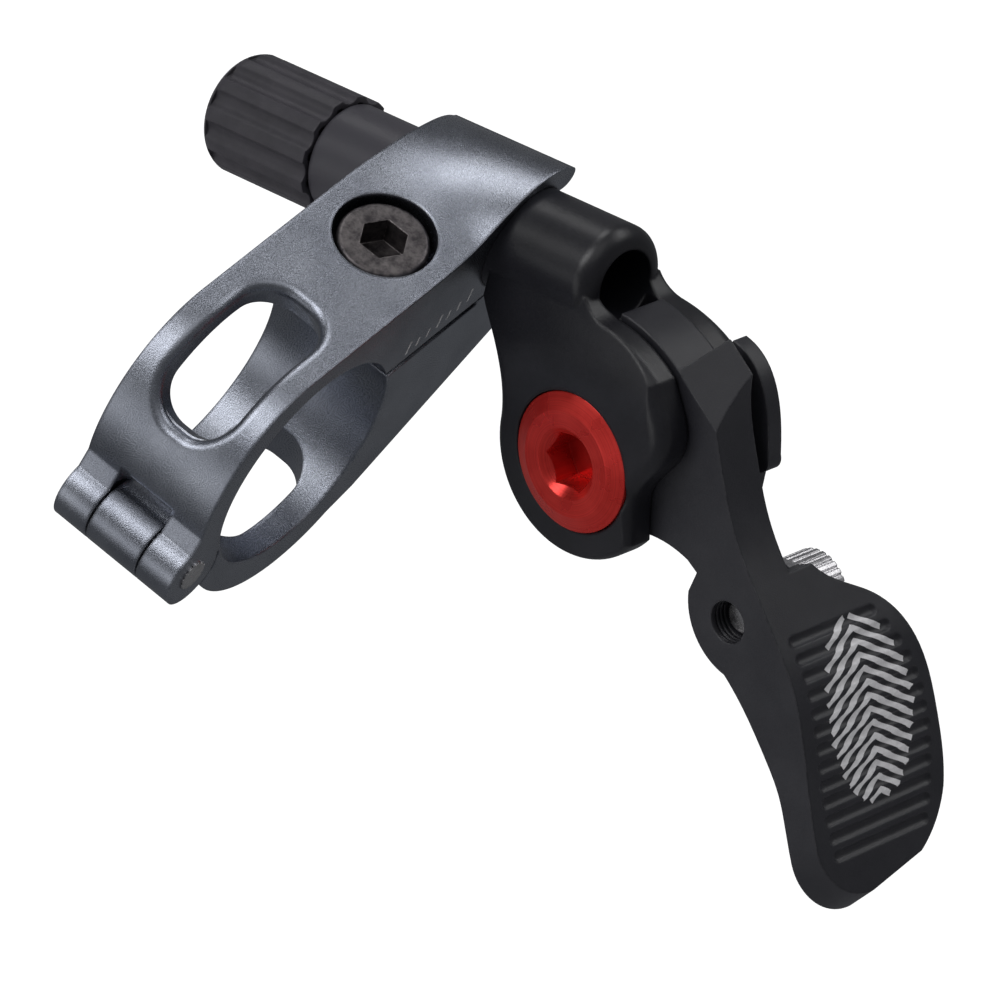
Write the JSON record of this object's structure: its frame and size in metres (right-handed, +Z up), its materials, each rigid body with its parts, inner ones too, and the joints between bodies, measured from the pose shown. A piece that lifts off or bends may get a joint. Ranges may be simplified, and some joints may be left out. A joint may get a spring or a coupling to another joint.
{
  "type": "dropper seatpost remote lever",
  "caption": "Hinged handlebar clamp carrying a thumb lever on ball bearings, with a wire pinch screw, a barrel adjuster and a ribbed paddle, for pulling a dropper seatpost cable.",
  "frame": {"origin": "centre of the handlebar bore of the clamp", "axes": "+X along the handlebar, +Y from the clamp hinge to the lever neck, +Z up along the clamp bolt towards its head"},
  "size_m": [0.0948, 0.0532, 0.0394],
  "materials": {
    "clamp_alloy": "satin grey anodised, fine sparkle",
    "pin_steel": "bright turned steel",
    "bolt_black": "black oxide, rubbed at the edges",
    "washer_black": "black oxide",
    "body_black": "satin black anodised",
    "lever_black": "matt black anodised",
    "pivot_red": "bright red anodised",
    "race_steel": "ground bearing steel",
    "ball_steel": "polished",
    "cage_brass": "plain",
    "shield_rubber": "matt",
    "spacer_alloy": "turned",
    "shim_steel": "plain",
    "pinch_steel": "stainless, knurled",
    "seal_rubber": "matt",
    "barrel_alloy": "grey anodised",
    "knob_plastic": "moulded"
  },
  "bodies": {
    "clamp_upper": {"upper_clamp_arm": "clamp_alloy", "hinge_pin": "pin_steel"},
    "clamp_lower": {"lower_clamp_arm": "clamp_alloy"},
    "bolt_washer": {"clamp_washer": "washer_black"},
    "bolt": {"clamp_bolt": "bolt_black"},
    "mount": {"lever_mount": "body_black", "pivot_bolt": "pivot_red", "bearing_inner_races": "race_steel", "bearing_spacer": "spacer_alloy", "shim_washers": "shim_steel", "adjuster_seal_ring": "seal_rubber"},
    "ball_sets": {"bearing_balls": "ball_steel", "bearing_cages": "cage_brass"},
    "lever": {"thumb_lever": "lever_black", "bearing_outer_races": "race_steel", "bearing_shields": "shield_rubber"},
    "wire_washer": {"pinch_washer": "pinch_steel"},
    "wire_screw": {"pinch_screw": "pinch_steel"},
    "barrel": {"adjuster_barrel": "barrel_alloy"},
    "knob": {"adjuster_knob": "knob_plastic"}
  },
  "joints": [
    {"name": "lower_arm_hinge", "type": "hinge", "parent": "clamp_upper", "child": "clamp_lower", "pos_m": [0, -0.0142, -0.0039], "axis": [-1, 0, 0], "range_deg": [0, 9.1]},
    {"name": "bolt_withdraw", "type": "slide", "parent": "clamp_upper", "child": "bolt_washer", "axis": [0, 0, 1], "range_m": [0, 0.014]},
    {"name": "bolt_spin", "type": "hinge", "parent": "bolt_washer", "child": "bolt", "pos_m": [0, 0.0155, 0.0075], "axis": [0, 0, 1], "range_deg": [0, 6300]},
    {"name": "lever_swivel", "type": "hinge", "parent": "clamp_upper", "child": "mount", "pos_m": [0, 0.028, 0.0066], "axis": [0.9152, -0.0688, 0.3971], "range_deg": [-12, 12]},
    {"name": "lever_pivot", "type": "hinge", "parent": "mount", "child": "lever", "pos_m": [0.02502, 0.02225, 0.00134], "axis": [0.1717, 0.958, -0.2298], "range_deg": [0, 32]},
    {"name": "ball_roll", "type": "hinge", "parent": "mount", "child": "ball_sets", "pos_m": [0.02502, 0.02225, 0.00134], "axis": [0.1717, 0.958, -0.2298], "range_deg": [0, 18.4]},
    {"name": "wire_washer_lift", "type": "slide", "parent": "lever", "child": "wire_washer", "axis": [0.1717, 0.958, -0.2298], "range_m": [0, 0.0012]},
    {"name": "wire_screw_spin", "type": "hinge", "parent": "wire_washer", "child": "wire_screw", "pos_m": [0.04428, 0.01819, -0.00119], "axis": [0.1717, 0.958, -0.2298], "range_deg": [0, 617.2]},
    {"name": "barrel_travel", "type": "slide", "parent": "mount", "child": "barrel", "axis": [-0.9152, 0.0688, -0.3971], "range_m": [0, 0.005]},
    {"name": "knob_spin", "type": "hinge", "parent": "barrel", "child": "knob", "pos_m": [-0.01995, 0.0295, -0.00206], "axis": [-0.9152, 0.0688, -0.3971], "range_deg": [0, 1800]}
  ],
  "couplings": [
    {"joint": "lower_arm_hinge", "follows": "bolt_withdraw", "rad_per_m": 11.22},
    {"joint": "bolt_spin", "follows": "bolt_withdraw", "rad_per_m": 7854},
    {"joint": "ball_roll", "follows": "lever_pivot", "ratio": 0.575},
    {"joint": "wire_screw_spin", "follows": "wire_washer_lift", "rad_per_m": 8976},
    {"joint": "knob_spin", "follows": "barrel_travel", "rad_per_m": 6283.2}
  ]
}
